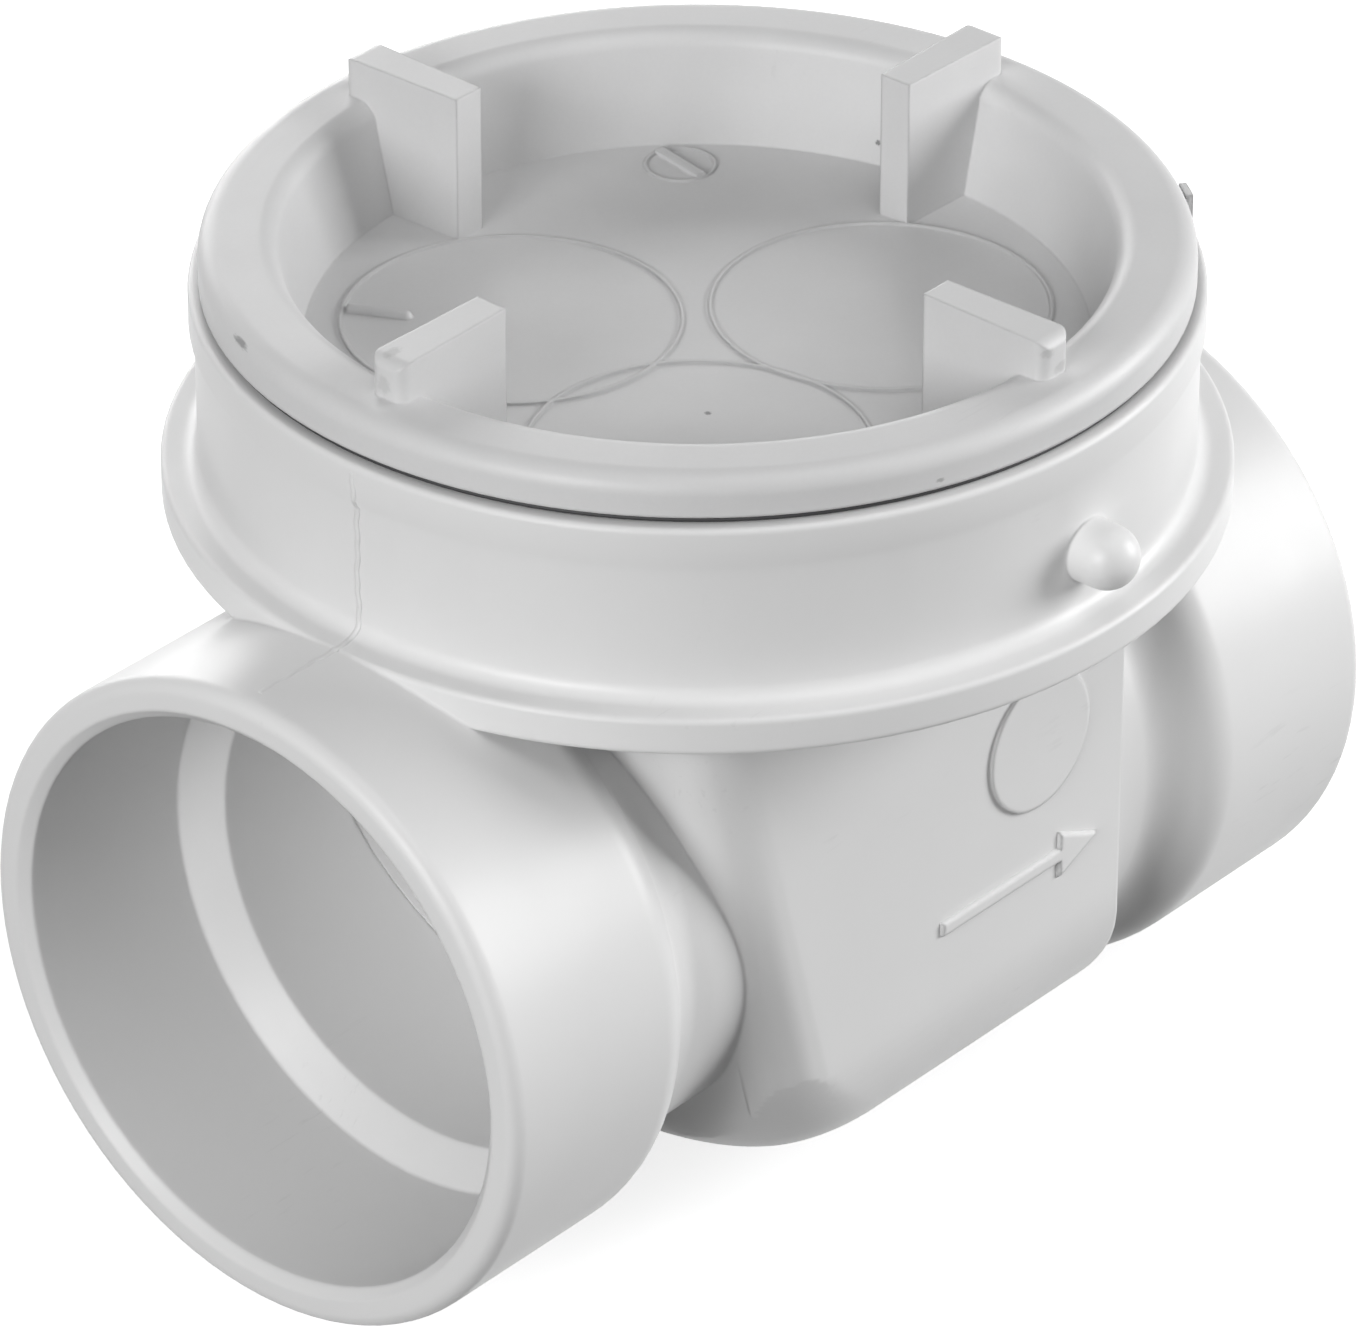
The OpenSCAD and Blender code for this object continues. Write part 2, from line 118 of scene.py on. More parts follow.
# Points are set against the wrap's planes in this many batches, to save memory
CORNER_BATCHES = 40

# Points of a copied mesh that are closer than this are one
MERGE_REACH = 0.005 * MM


# Meshes from numpy grids


def mesh_object(name, points, faces, smooth=True):
    """A new object from an array of points and a list or array of faces."""
    mesh = bpy.data.meshes.new(name)
    mesh.from_pydata(np.asarray(points).tolist(), [], [list(map(int, face)) for face in faces])
    mesh.polygons.foreach_set("use_smooth", np.full(len(mesh.polygons), smooth))
    mesh.update()
    made = bpy.data.objects.new(name, mesh)
    bpy.context.scene.collection.objects.link(made)
    return made


def grid_faces(rows, columns, wrap_rows=False, wrap_columns=False):
    """Quads of a rows by columns grid of points, closed on itself along either way if asked."""
    row = np.arange(rows if wrap_rows else rows - 1)
    column = np.arange(columns if wrap_columns else columns - 1)
    i, j = np.meshgrid(row, column, indexing="ij")
    i_next, j_next = (i + 1) % rows, (j + 1) % columns
    corners = [i * columns + j, i_next * columns + j, i_next * columns + j_next, i * columns + j_next]
    return np.stack(corners, -1).reshape(-1, 4)


def tube(name, rings, smooth=True):
    """A closed tube through rings of points, an array of (ring, point, xyz), with both ends capped."""
    count, around = rings.shape[:2]
    faces = grid_faces(count, around, wrap_columns=True).tolist()
    faces.append(list(range(around)))
    faces.append([(count - 1) * around + k for k in reversed(range(around))])
    return mesh_object(name, rings.reshape(-1, 3), faces, smooth)


def turn_outwards(piece):
    """Recalculates a closed piece's normals so that they point outwards."""
    bpy.context.view_layer.objects.active = piece
    bpy.ops.object.select_all(action="DESELECT")
    piece.select_set(True)
    bpy.ops.object.mode_set(mode="EDIT")
    bpy.ops.mesh.select_all(action="SELECT")
    bpy.ops.mesh.normals_make_consistent(inside=False)
    bpy.ops.object.mode_set(mode="OBJECT")
    return piece


def corner_planes():
    """Planes that wrap one rounded corner of the chamber, as outward normals and reaches.

    A normal points at bearing b and dips by d below level. A foot of radius r about x, on the chamber's
    bottom, gives reach = r - (bottom + r) sin d - x cos d. Foot radius and set-back are quartics in b
    through the solid's five outlines.
    """
    marks = np.radians(CORNER_BEARINGS)
    bearing = np.linspace(0, math.pi / 2, 61)[:, None]
    foot_r = np.polyval(np.polyfit(marks, CORNER_FOOT_R, 4), bearing) * MM
    clear = np.polyval(np.polyfit(marks, CORNER_CLEAR, 4), bearing) * MM
    lean = np.arctan(math.tan(SEAT_TILT) * np.cos(bearing))
    dip = lean + (math.pi / 2 - lean) * np.linspace(0, 1, 41)
    face = (SEAT_WALL_X + SEAT_EDGE_R) * np.cos(bearing) - (CHAMBER_Y - SEAT_EDGE_R) * np.sin(bearing)
    face -= SEAT_EDGE_R + clear
    foot_z = CHAMBER_LOW + foot_r
    foot_x = face + (foot_r - foot_z * np.sin(lean)) / np.cos(lean)
    reach = foot_r - foot_z * np.sin(dip) - foot_x * np.cos(dip)
    normal = -np.stack([np.cos(bearing) * np.cos(dip), np.sin(bearing) * np.cos(dip), np.sin(dip)], -1)
    return normal.reshape(-1, 3), reach.reshape(-1)


def vertex_places(mesh):
    """A mesh's vertices as an array of (vertex, xyz)."""
    places = np.empty(3 * len(mesh.vertices), np.float32)
    mesh.vertices.foreach_get("co", places)
    return places.reshape(-1, 3).astype(float)


def corner_fit(places):
    """Which points lie on the chamber's outside, which are by a corner, and each one's way to the wrap.

    A point's height over the wrap is its largest normal . p - reach. The corner at +Y is mirrored first.
    """
    normal, reach = corner_planes()
    side = np.column_stack([
        np.ones(len(places)), np.where(places[:, 1] > 0, -1, 1), np.ones(len(places))])
    near = places * side
    overs = (batch @ normal.T - reach for batch in np.array_split(near, CORNER_BATCHES))
    height, plane = np.concatenate([(over.max(1), over.argmax(1)) for over in overs], axis=1)
    outside = (height > -CORNER_UNDER) & (height < CORNER_PROUD)
    beside = (near < CORNER_ENDS).all(1)
    move = -normal[plane.astype(int)] * np.maximum(height, 0)[:, None] * side
    return outside, beside, move


def round_corners(mesh):
    """Halves long edges round the chamber's corners, then sets their points on the smooth wrap."""
    for _ in range(CORNER_ROUNDS):
        places = vertex_places(mesh)
        outside, beside = corner_fit(places)[:2]
        ends = np.empty(2 * len(mesh.edges), np.int32)
        mesh.edges.foreach_get("vertices", ends)
        ends = ends.reshape(-1, 2)
        length = np.linalg.norm(places[ends[:, 0]] - places[ends[:, 1]], axis=1)
        long = outside[ends].all(1) & beside[ends].any(1) & (length > CORNER_SPLIT)
        work = bmesh.new()
        work.from_mesh(mesh)
        work.edges.ensure_lookup_table()
        chosen = [work.edges[k] for k in np.flatnonzero(long)]
        bmesh.ops.subdivide_edges(work, edges=chosen, cuts=1, use_grid_fill=True, use_single_edge=True)
        bmesh.ops.triangulate(work, faces=[face for face in work.faces if len(face.verts) > 3])
        work.to_mesh(mesh)
        work.free()
    places = vertex_places(mesh)
    outside, beside, move = corner_fit(places)
    places += move * (outside & beside)[:, None]
    mesh.vertices.foreach_set("co", places.astype(np.float32).ravel())
    mesh.update()


def merged_copy(node_name, name, crease, rework=None):
    """A node's triangles with one shared vertex at each place, so that a round face shades as one surface.

    Edges that bend by more than crease stay sharp, and large faces outweigh small ones in the shading.
    """
    work = bmesh.new()
    work.from_mesh(frame["nodes"][node_name].data)
    bmesh.ops.remove_doubles(work, verts=work.verts, dist=MERGE_REACH)
    bmesh.ops.dissolve_degenerate(work, edges=work.edges, dist=MERGE_REACH)
    mesh = bpy.data.meshes.new(name)
    work.to_mesh(mesh)
    work.free()
    if rework:
        rework(mesh)
    mesh.attributes.remove(mesh.attributes["custom_normal"])
    mesh.polygons.foreach_set("use_smooth", np.full(len(mesh.polygons), True))
    mesh.set_sharp_from_angle(angle=crease)
    made = bpy.data.objects.new(name, mesh)
    bpy.context.scene.collection.objects.link(made)
    shading = made.modifiers.new("large_faces_first", "WEIGHTED_NORMAL")
    shading.keep_sharp = True
    return made


def smooth_step(low, high, value):
    """0 below low, 1 above high, and an S curve between them."""
    share = np.clip((value - low) / (high - low), 0, 1)
    return share * share * (3 - 2 * share)


# Shader node groups


def new_group(name, inputs, outputs):
    """An empty node group with named sockets, each (label, kind, value), and its two end nodes."""
    group = bpy.data.node_groups.new(name, "ShaderNodeTree")
    for label, kind, value in inputs:
        group.interface.new_socket(label, in_out="INPUT", socket_type=kind).default_value = value
    for label, kind in outputs:
        group.interface.new_socket(label, in_out="OUTPUT", socket_type=kind)
    return group, group.nodes.new("NodeGroupInput"), group.nodes.new("NodeGroupOutput")


def add_node(tree, kind, values=None, **settings):
    """A new node with its settings and its unlinked input values."""
    made = tree.nodes.new(kind)
    for key, value in settings.items():
        setattr(made, key, value)
    for key, value in (values or {}).items():
        made.inputs[key].default_value = value
    return made


def math_node(tree, operation, first, second=None, clamp=False):
    """A Math node whose inputs are sockets or numbers."""
    made = add_node(tree, "ShaderNodeMath", operation=operation, use_clamp=clamp)
    for slot, value in enumerate((first, second)):
        if value is None:
            continue
        if isinstance(value, (int, float)):
            made.inputs[slot].default_value = value
        else:
            tree.links.new(value, made.inputs[slot])
    return made.outputs[0]


def noise(tree, vector, scale, detail=2.0, roughness=0.5):
    """A Noise Texture's value on a vector socket."""
    made = add_node(tree, "ShaderNodeTexNoise", {"Detail": detail, "Roughness": roughness})
    tree.links.new(vector, made.inputs["Vector"])
    if isinstance(scale, (int, float)):
        made.inputs["Scale"].default_value = scale
    else:
        tree.links.new(scale, made.inputs["Scale"])
    return made.outputs[0]


def ramp(tree, value, low, high):
    """A value mapped from low..high to 0..1 with a smooth step."""
    made = add_node(tree, "ShaderNodeMapRange", interpolation_type="SMOOTHSTEP")
    tree.links.new(value, made.inputs["Value"])
    made.inputs["From Min"].default_value = low
    made.inputs["From Max"].default_value = high
    return made.outputs["Result"]


def make_mould_skin():
    """Skin of a moulding: a tone of clouds and fine grain, and a height of waves and orange peel."""
    group, start, end = new_group(
        "mould_skin",
        [("Vector", "NodeSocketVector", (0, 0, 0)), ("Cloud Size", "NodeSocketFloat", 30.0),
         ("Cloudiness", "NodeSocketFloat", 0.05)],
        [("Tone", "NodeSocketFloat"), ("Height", "NodeSocketFloat")])
    cloud = noise(group, start.outputs["Vector"], start.outputs["Cloud Size"], 3.0, 0.55)
    grain = noise(group, start.outputs["Vector"], 1400.0, 2.0)
    broad = math_node(group, "MULTIPLY", cloud, 0.8)
    fine = math_node(group, "MULTIPLY", grain, 0.2)
    around_zero = math_node(group, "SUBTRACT", math_node(group, "ADD", broad, fine), 0.5)
    swing = math_node(group, "MULTIPLY", around_zero, start.outputs["Cloudiness"])
    group.links.new(math_node(group, "ADD", swing, 1.0), end.inputs["Tone"])
    peel = noise(group, start.outputs["Vector"], 420.0, 2.0)
    wave = noise(group, start.outputs["Vector"], 55.0, 1.0)
    height = math_node(group, "ADD", math_node(group, "MULTIPLY", peel, 0.25), wave)
    group.links.new(height, end.inputs["Height"])
    return group


def make_specks():
    """Sparse dark specks: a dot at the middle of some Voronoi cells, and none in the rest."""
    group, start, end = new_group(
        "specks",
        [("Vector", "NodeSocketVector", (0, 0, 0)), ("Cells", "NodeSocketFloat", 55.0),
         ("Share", "NodeSocketFloat", 0.1)],
        [("Mask", "NodeSocketFloat")])
    cells = add_node(group, "ShaderNodeTexVoronoi")
    group.links.new(start.outputs["Vector"], cells.inputs["Vector"])
    group.links.new(start.outputs["Cells"], cells.inputs["Scale"])
    pick = add_node(group, "ShaderNodeSeparateColor")
    group.links.new(cells.outputs["Color"], pick.inputs[0])
    chosen = math_node(group, "LESS_THAN", pick.outputs[0], start.outputs["Share"])
    size = math_node(group, "ADD", math_node(group, "MULTIPLY", pick.outputs[1], 0.035), 0.02)
    dot = math_node(group, "LESS_THAN", cells.outputs["Distance"], size)
    group.links.new(math_node(group, "MULTIPLY", chosen, dot), end.inputs["Mask"])
    return group


def make_scuffs():
    """Handling scuffs: thin broken streaks, where a stretched noise peaks inside a patchy mask."""
    group, start, end = new_group(
        "scuffs",
        [("Vector", "NodeSocketVector", (0, 0, 0)), ("Patch Size", "NodeSocketFloat", 22.0)],
        [("Mask", "NodeSocketFloat")])
    turned = add_node(group, "ShaderNodeMapping")
    turned.inputs["Rotation"].default_value = (0.4, 0.3, 0.9)
    turned.inputs["Scale"].default_value = (90.0, 900.0, 500.0)
    group.links.new(start.outputs["Vector"], turned.inputs["Vector"])
    streak = ramp(group, noise(group, turned.outputs[0], 1.0, 2.0), 0.62, 0.75)
    patch = ramp(group, noise(group, start.outputs["Vector"], start.outputs["Patch Size"], 2.0), 0.56, 0.7)
    group.links.new(math_node(group, "MULTIPLY", streak, patch), end.inputs["Mask"])
    return group


def make_smudge():
    """One ragged spot: 1 near Centre, 0 past Reach along each axis, with a noisy edge."""
    group, start, end = new_group(
        "smudge",
        [("Vector", "NodeSocketVector", (0, 0, 0)), ("Centre", "NodeSocketVector", (0, 0, 0)),
         ("Reach", "NodeSocketVector", (MM, MM, MM))],
        [("Mask", "NodeSocketFloat")])
    offset = add_node(group, "ShaderNodeVectorMath", operation="SUBTRACT")
    group.links.new(start.outputs["Vector"], offset.inputs[0])
    group.links.new(start.outputs["Centre"], offset.inputs[1])
    shares = add_node(group, "ShaderNodeVectorMath", operation="DIVIDE")
    group.links.new(offset.outputs[0], shares.inputs[0])
    group.links.new(start.outputs["Reach"], shares.inputs[1])
    size = add_node(group, "ShaderNodeVectorMath", operation="LENGTH")
    group.links.new(shares.outputs[0], size.inputs[0])
    ragged = math_node(group, "MULTIPLY", noise(group, shares.outputs[0], 2.5, 3.0), 0.9)
    edge = ramp(group, math_node(group, "ADD", size.outputs["Value"], ragged), 0.8, 1.4)
    group.links.new(math_node(group, "SUBTRACT", 1.0, edge), end.inputs["Mask"])
    return group


MOULD_SKIN = make_mould_skin()
SPECKS = make_specks()
SCUFFS = make_scuffs()
SMUDGE = make_smudge()


def place_group(tree, group, vector, values=None):
    """A group placed in a material, fed by the vector and its own values."""
    made = add_node(tree, "ShaderNodeGroup", node_tree=group)
    for key, value in (values or {}).items():
        made.inputs[key].default_value = value
    tree.links.new(vector, made.inputs["Vector"])
    return made


def new_material(name):
    """An empty node material: the tree, its Principled shader and Object coordinates."""
    made = bpy.data.materials.new(name)
    made.use_nodes = True
    tree = made.node_tree
    shader = tree.nodes["Principled BSDF"]
    coordinates = add_node(tree, "ShaderNodeTexCoord").outputs["Object"]
    return made, tree, shader, coordinates


def tint(tree, colour, tone, mask, dark):
    """A colour times a tone, then darkened towards dark where the mask is 1."""
    toned = add_node(tree, "ShaderNodeMix", data_type="RGBA", blend_type="MULTIPLY")
    toned.inputs["Factor"].default_value = 1.0
    toned.inputs["A"].default_value = (*colour, 1)
    tree.links.new(tone, toned.inputs["B"])
    spotted = add_node(tree, "ShaderNodeMix", data_type="RGBA")
    tree.links.new(mask, spotted.inputs["Factor"])
    tree.links.new(toned.outputs["Result"], spotted.inputs["A"])
    spotted.inputs["B"].default_value = (*dark, 1)
    return spotted.outputs["Result"]


def pvc(name, colour, roughness, cloudiness, speck_share, soft_edge, smudges=()):
    """Satin moulded PVC: cloudy white, sparse specks, scuffs that dull the gloss, and soft edges.

    Each smudge is the centre and the reach of one dark spot, both in millimetres, and its strength.
    """
    made, tree, shader, coordinates = new_material(name)
    skin = place_group(tree, MOULD_SKIN, coordinates, {"Cloudiness": cloudiness})
    specks = place_group(tree, SPECKS, coordinates, {"Share": speck_share})
    scuffs = place_group(tree, SCUFFS, coordinates)
    scuffed = math_node(tree, "MULTIPLY", scuffs.outputs["Mask"], 0.08)
    marks = math_node(tree, "MAXIMUM", math_node(tree, "MULTIPLY", specks.outputs["Mask"], 0.6), scuffed)
    for centre, reach, strength in smudges:
        sizes = {"Centre": [c * MM for c in centre], "Reach": [r * MM for r in reach]}
        spot = place_group(tree, SMUDGE, coordinates, sizes)
        faded = math_node(tree, "MULTIPLY", spot.outputs["Mask"], strength)
        marks = math_node(tree, "MAXIMUM", marks, faded)
    dark = tuple(0.35 * channel for channel in colour)
    tree.links.new(tint(tree, colour, skin.outputs["Tone"], marks, dark), shader.inputs["Base Color"])
    dulled = math_node(tree, "MULTIPLY", scuffs.outputs["Mask"], 0.2)
    uneven = math_node(tree, "MULTIPLY", skin.outputs["Height"], 0.12)
    varied = math_node(tree, "ADD", uneven, roughness - 0.07)
    tree.links.new(math_node(tree, "ADD", varied, dulled, clamp=True), shader.inputs["Roughness"])
    rounded = add_node(tree, "ShaderNodeBevel", {"Radius": soft_edge}, samples=4)
    bump = add_node(tree, "ShaderNodeBump", {"Strength": 0.25, "Distance": 0.15 * MM})
    tree.links.new(skin.outputs["Height"], bump.inputs["Height"])
    tree.links.new(rounded.outputs["Normal"], bump.inputs["Normal"])
    tree.links.new(bump.outputs["Normal"], shader.inputs["Normal"])
    shader.inputs["IOR"].default_value = 1.5
    shader.inputs["Specular IOR Level"].default_value = 0.35
    return made


def rubber(name, colour):
    """Matt black rubber with a fine grain and a little pale bloom."""
    made, tree, shader, coordinates = new_material(name)
    skin = place_group(tree, MOULD_SKIN, coordinates, {"Cloud Size": 80.0, "Cloudiness": 0.5})
    specks = place_group(tree, SPECKS, coordinates, {"Share": 0.05})
    bloom = tuple(2.2 * channel for channel in colour)
    tinted = tint(tree, colour, skin.outputs["Tone"], specks.outputs["Mask"], bloom)
    tree.links.new(tinted, shader.inputs["Base Color"])
    varied = math_node(tree, "ADD", math_node(tree, "MULTIPLY", skin.outputs["Height"], 0.2), 0.5)
    tree.links.new(varied, shader.inputs["Roughness"])
    bump = add_node(tree, "ShaderNodeBump", {"Strength": 0.4, "Distance": 0.1 * MM})
    tree.links.new(skin.outputs["Height"], bump.inputs["Height"])
    tree.links.new(bump.outputs["Normal"], shader.inputs["Normal"])
    return made


def stainless(name, colour):
    """Turned stainless steel: fine scratches in the gloss and a slight cloudiness."""
    made, tree, shader, coordinates = new_material(name)
    skin = place_group(tree, MOULD_SKIN, coordinates, {"Cloud Size": 120.0, "Cloudiness": 0.15})
    scuffs = place_group(tree, SCUFFS, coordinates, {"Patch Size": 60.0})
    dark = tuple(0.6 * channel for channel in colour)
    tinted = tint(tree, colour, skin.outputs["Tone"], scuffs.outputs["Mask"], dark)
    tree.links.new(tinted, shader.inputs["Base Color"])
    varied = math_node(tree, "ADD", math_node(tree, "MULTIPLY", scuffs.outputs["Mask"], 0.25), 0.25)
    tree.links.new(varied, shader.inputs["Roughness"])
    shader.inputs["Metallic"].default_value = 1.0
    return made


# Dirt on the cap, seen in the dish, on its wall, along the rim and on the lugs' ends: centre and reach
# in millimetres, and strength
CAP_SMUDGES = [
    ((61.8, -21.7, 89.0), (0.9, 0.9, 0.9), 1.0),
    ((156.5, 16.8, 93.4), (0.8, 0.8, 0.8), 1.0),
    ((50.2, -86.3, 104.5), (1.3, 0.8, 0.6), 0.6),
    ((-0.5, 36.5, 108.9), (2.4, 4.5, 0.9), 0.8),
    ((1.7, 1.2, 119.0), (3.0, 1.6, 1.0), 0.3),
    ((-1.5, 0.5, 113.8), (1.2, 2.2, 2.6), 0.2),
    ((81.5, -85.2, 116.5), (2.0, 1.6, 1.4), 0.25),
    ((85.0, -85.5, 112.5), (2.6, 1.2, 1.6), 0.25)]

WHITE_PVC = pvc("white_pvc_skin", (0.70, 0.70, 0.70), 0.36, 0.06, 0.01, 1.2 * MM)
CAP_PVC = pvc("cap_pvc_skin", (0.60, 0.60, 0.602), 0.42, 0.18, 0.02, 0.8 * MM, CAP_SMUDGES)
TRIM_PVC = pvc("white_pvc_trim_skin", (0.66, 0.66, 0.66), 0.36, 0.06, 0.01, 0.1 * MM)
INNER_PVC = pvc("inner_pvc_skin", (0.68, 0.68, 0.68), 0.40, 0.06, 0.02, 0.5 * MM)
BLACK_RUBBER = rubber("black_rubber_skin", (0.03, 0.03, 0.032))
STAINLESS = stainless("stainless_skin", (0.62, 0.62, 0.63))

FINISHES = {
    "valve_body": WHITE_PVC, "access_cap": CAP_PVC, "cap_o_ring": BLACK_RUBBER,
    "seat_ring": INNER_PVC, "hinge_pin": STAINLESS, "pin_clips": STAINLESS,
    "flapper": INNER_PVC, "flapper_gasket": BLACK_RUBBER, "gasket_retainer": INNER_PVC,
    "retainer_screws": STAINLESS}


def dress(piece, material):
    """Gives a piece one material in place of what it has."""
    piece.data.materials.clear()
    piece.data.materials.append(material)


for node_name, finish in FINISHES.items():
    dress(frame["nodes"][node_name], finish)

# The two outer mouldings are shown as merged copies, whose fillets shade smoothly
CREASE = math.radians(32)
for node_name, body, rework in (("valve_body", "valve", round_corners), ("access_cap", "cap", None)):
    moulding = merged_copy(node_name, node_name + "_moulding", CREASE, rework)
    dress(moulding, FINISHES[node_name])
    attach(moulding, body)
    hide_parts(node_name)


# Screw threads


# Height and turns of both ridges, points in a turn, and the plain foot below the plug's ridge
THREAD_H = 1.5 * MM
THREAD_TURNS = 2.4
THREAD_STEPS = 120
THREAD_START = 3 * MM


def thread_ridge(name, root_r, low, inward):
    """Helical ridge of trapezoid section: a point turns with the angle and climbs one pitch a turn.

    The section stands out of radius root_r by the thread's height, or into it if inward, and fades to
    nothing over the first and last eighth of a turn.
    """
    angle = np.linspace(0, 2 * math.pi * THREAD_TURNS, int(THREAD_TURNS * THREAD_STEPS))
    fade = np.minimum(smooth_step(0, math.pi / 4, angle), smooth_step(0, math.pi / 4, angle[-1] - angle))
    half_foot, half_crest = 0.34 * THREAD_PITCH, 0.13 * THREAD_PITCH
    along = np.array([-half_foot, -half_crest, half_crest, half_foot, half_foot * 0.6, -half_foot * 0.6])
    rise = np.array([-0.05, 1.0, 1.0, -0.05, -0.15, -0.15])
    side = -1 if inward else 1
    radius = root_r + side * THREAD_H * (rise * np.where(rise > 0, fade[:, None], 1.0))
    turned = angle[:, None]
    height_z = low + THREAD_PITCH * turned / (2 * math.pi) + along
    rings = np.stack([CAP_AXIS_X + radius * np.cos(turned), radius * np.sin(turned), height_z], -1)
    return turn_outwards(tube(name, rings))


male_low = CAP_LOW.z + THREAD_START
male = thread_ridge("cap_thread", PLUG_R, male_low, False)
dress(male, CAP_PVC)
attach(male, "cap")

# The collar's ridge starts half a pitch below the plug's, so the two interleave
female_low = male_low - THREAD_PITCH / 2
female = thread_ridge("collar_thread", COLLAR_BORE_R, female_low, True)
dress(female, WHITE_PVC)
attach(female, "valve")


# Raised arrow on the chamber's side


def inset(outline, depth):
    """A closed outline, counter-clockwise, with every edge moved inwards by depth.

    Edge i lies on the line normal . p = reach; each new corner solves the lines of its two edges.
    """
    step = np.roll(outline, -1, axis=0) - outline
    normal = np.column_stack([-step[:, 1], step[:, 0]]) / np.linalg.norm(step, axis=1)[:, None]
    reach = (normal * outline).sum(1) + depth
    lines = np.stack([np.roll(normal, 1, axis=0), normal], 1)
    return np.linalg.solve(lines, np.column_stack([np.roll(reach, 1), reach])[..., None])[..., 0]


def flow_arrow():
    """Raised arrow along the flow: its outline at two depths in the wall, then drawn in on its face.

    The outline is a shaft with a broad head; the sides slope from the wall to the face.
    """
    tail, tip = CAP_AXIS_X - 3 * MM, CAP_AXIS_X + 44 * MM
    middle, shaft, head, barb = -16 * MM, 1.6 * MM, 5.2 * MM, 12 * MM
    outline = np.array([
        [tail, -shaft], [tip - barb, -shaft], [tip - barb, -head], [tip, 0],
        [tip - barb, head], [tip - barb, shaft], [tail, shaft]])
    root, face, draw_in = 0.5 * MM, 0.9 * MM, 0.45 * MM
    levels = [(outline, root), (outline, 0.0), (inset(outline, draw_in), -face)]
    rings = np.stack([
        np.column_stack([ring[:, 0], np.full(len(ring), -CHAMBER_Y + depth), middle + ring[:, 1]])
        for ring, depth in levels])
    return turn_outwards(tube("flow_arrow", rings, smooth=False))


arrow = flow_arrow()
dress(arrow, WHITE_PVC)
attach(arrow, "valve")


# Mould parting line


def parting_seam():
    """Ragged low ridge in the plane y = 0, from the inlet hub over the flange and up the collar to the band.

    A flat section is carried along the body's outline; its height and its wander to either side follow
    a sum of sines with seeded phases, and both ends fade out.
    """
    flange_x, foot_x = CAP_AXIS_X - FLANGE_R, CAP_AXIS_X - COLLAR_R - COLLAR_COVE
    collar_x, band_x = CAP_AXIS_X - COLLAR_R, CAP_AXIS_X - BAND_R
    band_low, step = COLLAR_TOP - BAND_H, BAND_R - COLLAR_R
    turn = np.linspace(-math.pi / 2, 0, 7)
    cove = np.column_stack([
        foot_x + COLLAR_COVE * np.cos(turn), FLANGE_TOP + COLLAR_COVE + COLLAR_COVE * np.sin(turn)])
    path = np.vstack([
        [(BODY_LOW.x + 5 * MM, HUB_R), (flange_x, HUB_R), (flange_x + 0.5 * MM, FLANGE_TOP)], cove,
        [(collar_x, band_low - 2 * step), (band_x, band_low), (band_x, COLLAR_TOP - 1.5 * MM)]])
    lengths = np.concatenate([[0], np.cumsum(np.linalg.norm(np.diff(path, axis=0), axis=1))])
    along = np.linspace(0, lengths[-1], int(lengths[-1] / (0.5 * MM)))
    x, z = (np.interp(along, lengths, path[:, k]) for k in (0, 1))
    step_x, step_z = np.gradient(x), np.gradient(z)
    size = np.hypot(step_x, step_z)
    out_x, out_z = -step_z / size, step_x / size
    phase = np.random.default_rng(3).uniform(0, 2 * math.pi, 3)
    waves = sum(np.sin(along / MM * rate + p) for rate, p in zip((0.21, 0.55, 1.3), phase)) / 3
    to_flange = abs(x - flange_x - 3 * MM)
    strong = 1 - smooth_step(5 * MM, 12 * MM, to_flange)
    ends = np.minimum(smooth_step(0, 22 * MM, along), smooth_step(0, 2 * MM, along[-1] - along))
    rise = (0.11 + 0.12 * strong + 0.07 * waves) * MM * ends
    wander = 0.35 * MM * np.roll(waves, 5)
    sunk = np.full(len(along), -0.2 * MM)
    half = 0.9 * MM
    section = [(-half, sunk), (half, sunk), (0.45 * half, rise), (-0.2 * half, rise)]
    lines = [
        np.column_stack([x + out_x * lift, wander + offset, z + out_z * lift]) for offset, lift in section]
    rings = np.stack(lines, 1)
    return turn_outwards(tube("parting_seam", rings))


seam = parting_seam()
dress(seam, TRIM_PVC)
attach(seam, "valve")


# Lip of the cap's seal, which shows as a black line under the cap's rim; its black is in part painted shade,
# standing in for the dark of the gap there


def seal_lip_as_gap_shade():
    """Flat ring between rim and collar: a thin section with a round edge, turned about the cap's axis."""
    turn = np.linspace(0, 2 * math.pi, 240, endpoint=False)
    # The outer edge sits just inside the rim, so that the black shows in the gap: in part painted shade
    inner, outer = SEAL_R - 1.2 * MM, RIM_R - 0.8 * MM
    low, high = COLLAR_TOP + 0.05 * MM, COLLAR_TOP + 1.05 * MM
    bend = np.linspace(-math.pi / 2, math.pi / 2, 7)
    half = (high - low) / 2
    edge = np.column_stack([outer - half + half * np.cos(bend), low + half + half * np.sin(bend)])
    section = np.vstack([[(inner, low)], edge, [(inner, high)]])
    radius, level = section[:, 0], section[:, 1]
    points = np.stack([
        CAP_AXIS_X + radius * np.cos(turn)[:, None], radius * np.sin(turn)[:, None],
        np.broadcast_to(level, (len(turn), len(level)))], -1)
    faces = grid_faces(len(turn), len(section), wrap_rows=True, wrap_columns=True)
    return turn_outwards(mesh_object("cap_seal_lip_gap_shade", points.reshape(-1, 3), faces))


gap_shade_lip = seal_lip_as_gap_shade()
# This lip's black rubber is in part painted shade: it darkens the gap under the rim
dress(gap_shade_lip, BLACK_RUBBER)
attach(gap_shade_lip, "cap_seal")


# Screws of the gasket retainer


